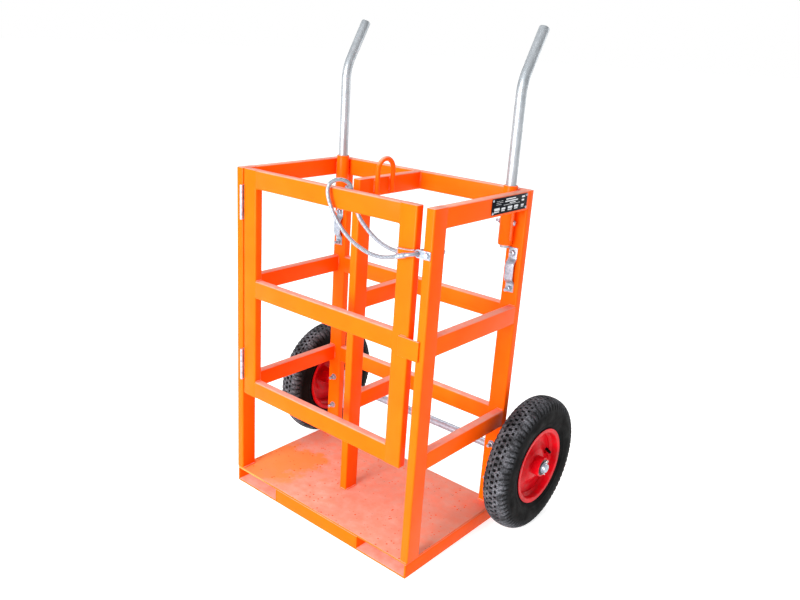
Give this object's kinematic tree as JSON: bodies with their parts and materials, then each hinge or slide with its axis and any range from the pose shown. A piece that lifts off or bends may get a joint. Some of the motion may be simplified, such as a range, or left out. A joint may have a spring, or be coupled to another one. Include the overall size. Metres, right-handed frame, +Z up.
{
  "type": "gas cylinder trolley",
  "caption": "Tube-framed trolley for two gas cylinders, with a fork-lift base, hinged front gate, retaining cable, plug-in handles and air tyres.",
  "frame": {"origin": "on the floor, under the middle of the bounding box of the trolley without its loose cable", "axes": "+Z up, -Y towards the gate at the front, +X towards the trolley's right side"},
  "size_m": [0.928, 0.688, 1.3739],
  "materials": {
    "orange_paint": "glossy brushed-on safety orange enamel",
    "red_paint": "glossy red enamel",
    "zinc_plate": "bright zinc plating",
    "bright_steel": "ground bearing steel",
    "galvanised_tube": "galvanised, lightly spangled",
    "tyre_rubber": "matt tread rubber with a little dust",
    "cable_sleeve": "clear grey plastic sleeve over wire rope",
    "label_plate": "black printed aluminium plate"
  },
  "bodies": {
    "frame": {"deck_plate": "orange_paint", "front_sill": "orange_paint", "fork_pocket_left": "orange_paint", "fork_pocket_right": "orange_paint", "post_front_left": "orange_paint", "post_front_right": "orange_paint", "post_rear_left": "orange_paint", "post_rear_right": "orange_paint", "centre_post": "orange_paint", "side_rail_left_low": "orange_paint", "side_rail_right_low": "orange_paint", "centre_rail_low": "orange_paint", "rear_rail_low": "orange_paint", "side_rail_left_mid": "orange_paint", "side_rail_right_mid": "orange_paint", "centre_rail_mid": "orange_paint", "rear_rail_mid": "orange_paint", "side_rail_left_top": "orange_paint", "side_rail_right_top": "orange_paint", "centre_rail_top": "orange_paint", "rear_rail_top": "orange_paint", "lifting_eye": "orange_paint", "cable_anchor": "zinc_plate", "cable_anchor_bolt": "zinc_plate", "axle": "zinc_plate", "nameplate": "label_plate", "hinge_lower_post_leaf": "zinc_plate", "hinge_lower_pin": "bright_steel", "hinge_upper_post_leaf": "zinc_plate", "hinge_upper_pin": "bright_steel", "handle_socket_left": "orange_paint", "handle_left": "galvanised_tube", "handle_bolt_left": "zinc_plate", "strap_saddle_left": "zinc_plate", "axle_bracket_left": "zinc_plate", "axle_washer_left": "zinc_plate", "handle_socket_right": "orange_paint", "handle_right": "galvanised_tube", "handle_bolt_right": "zinc_plate", "strap_saddle_right": "zinc_plate", "axle_bracket_right": "zinc_plate", "axle_washer_right": "zinc_plate"},
    "gate": {"gate_stile_hinge": "orange_paint", "gate_stile_latch": "orange_paint", "gate_rail_low": "orange_paint", "gate_rail_mid": "orange_paint", "gate_rail_top": "orange_paint", "gate_stop_plate": "orange_paint", "hinge_lower_gate_leaf": "zinc_plate", "hinge_upper_gate_leaf": "zinc_plate"},
    "cable": {"retaining_cable": "cable_sleeve", "cable_ferrule": "zinc_plate"},
    "wheel_left": {"wheel_rim_left": "red_paint", "wheel_tyre_left": "tyre_rubber", "wheel_bearing_outer_left": "bright_steel", "wheel_bearing_inner_left": "bright_steel"},
    "wheel_right": {"wheel_rim_right": "red_paint", "wheel_tyre_right": "tyre_rubber", "wheel_bearing_outer_right": "bright_steel", "wheel_bearing_inner_right": "bright_steel"}
  },
  "joints": [
    {"name": "gate_swing", "type": "hinge", "parent": "frame", "child": "gate", "pos_m": [-0.31275, -0.32845, 0.641], "axis": [0, 0, -1], "range_deg": [0, 175], "deforming": ["retaining_cable", "cable_ferrule"]},
    {"name": "cable_lift", "type": "hinge", "parent": "frame", "child": "cable", "pos_m": [0.303, -0.32475, 0.868], "axis": [0, 1, 0], "range_deg": [0, 95]},
    {"name": "wheel_left_spin", "type": "hinge", "parent": "frame", "child": "wheel_left", "pos_m": [-0.406, 0.13655, 0.197], "axis": [1, 0, 0], "continuous": true},
    {"name": "wheel_right_spin", "type": "hinge", "parent": "frame", "child": "wheel_right", "pos_m": [0.406, 0.13655, 0.197], "axis": [1, 0, 0], "continuous": true}
  ]
}
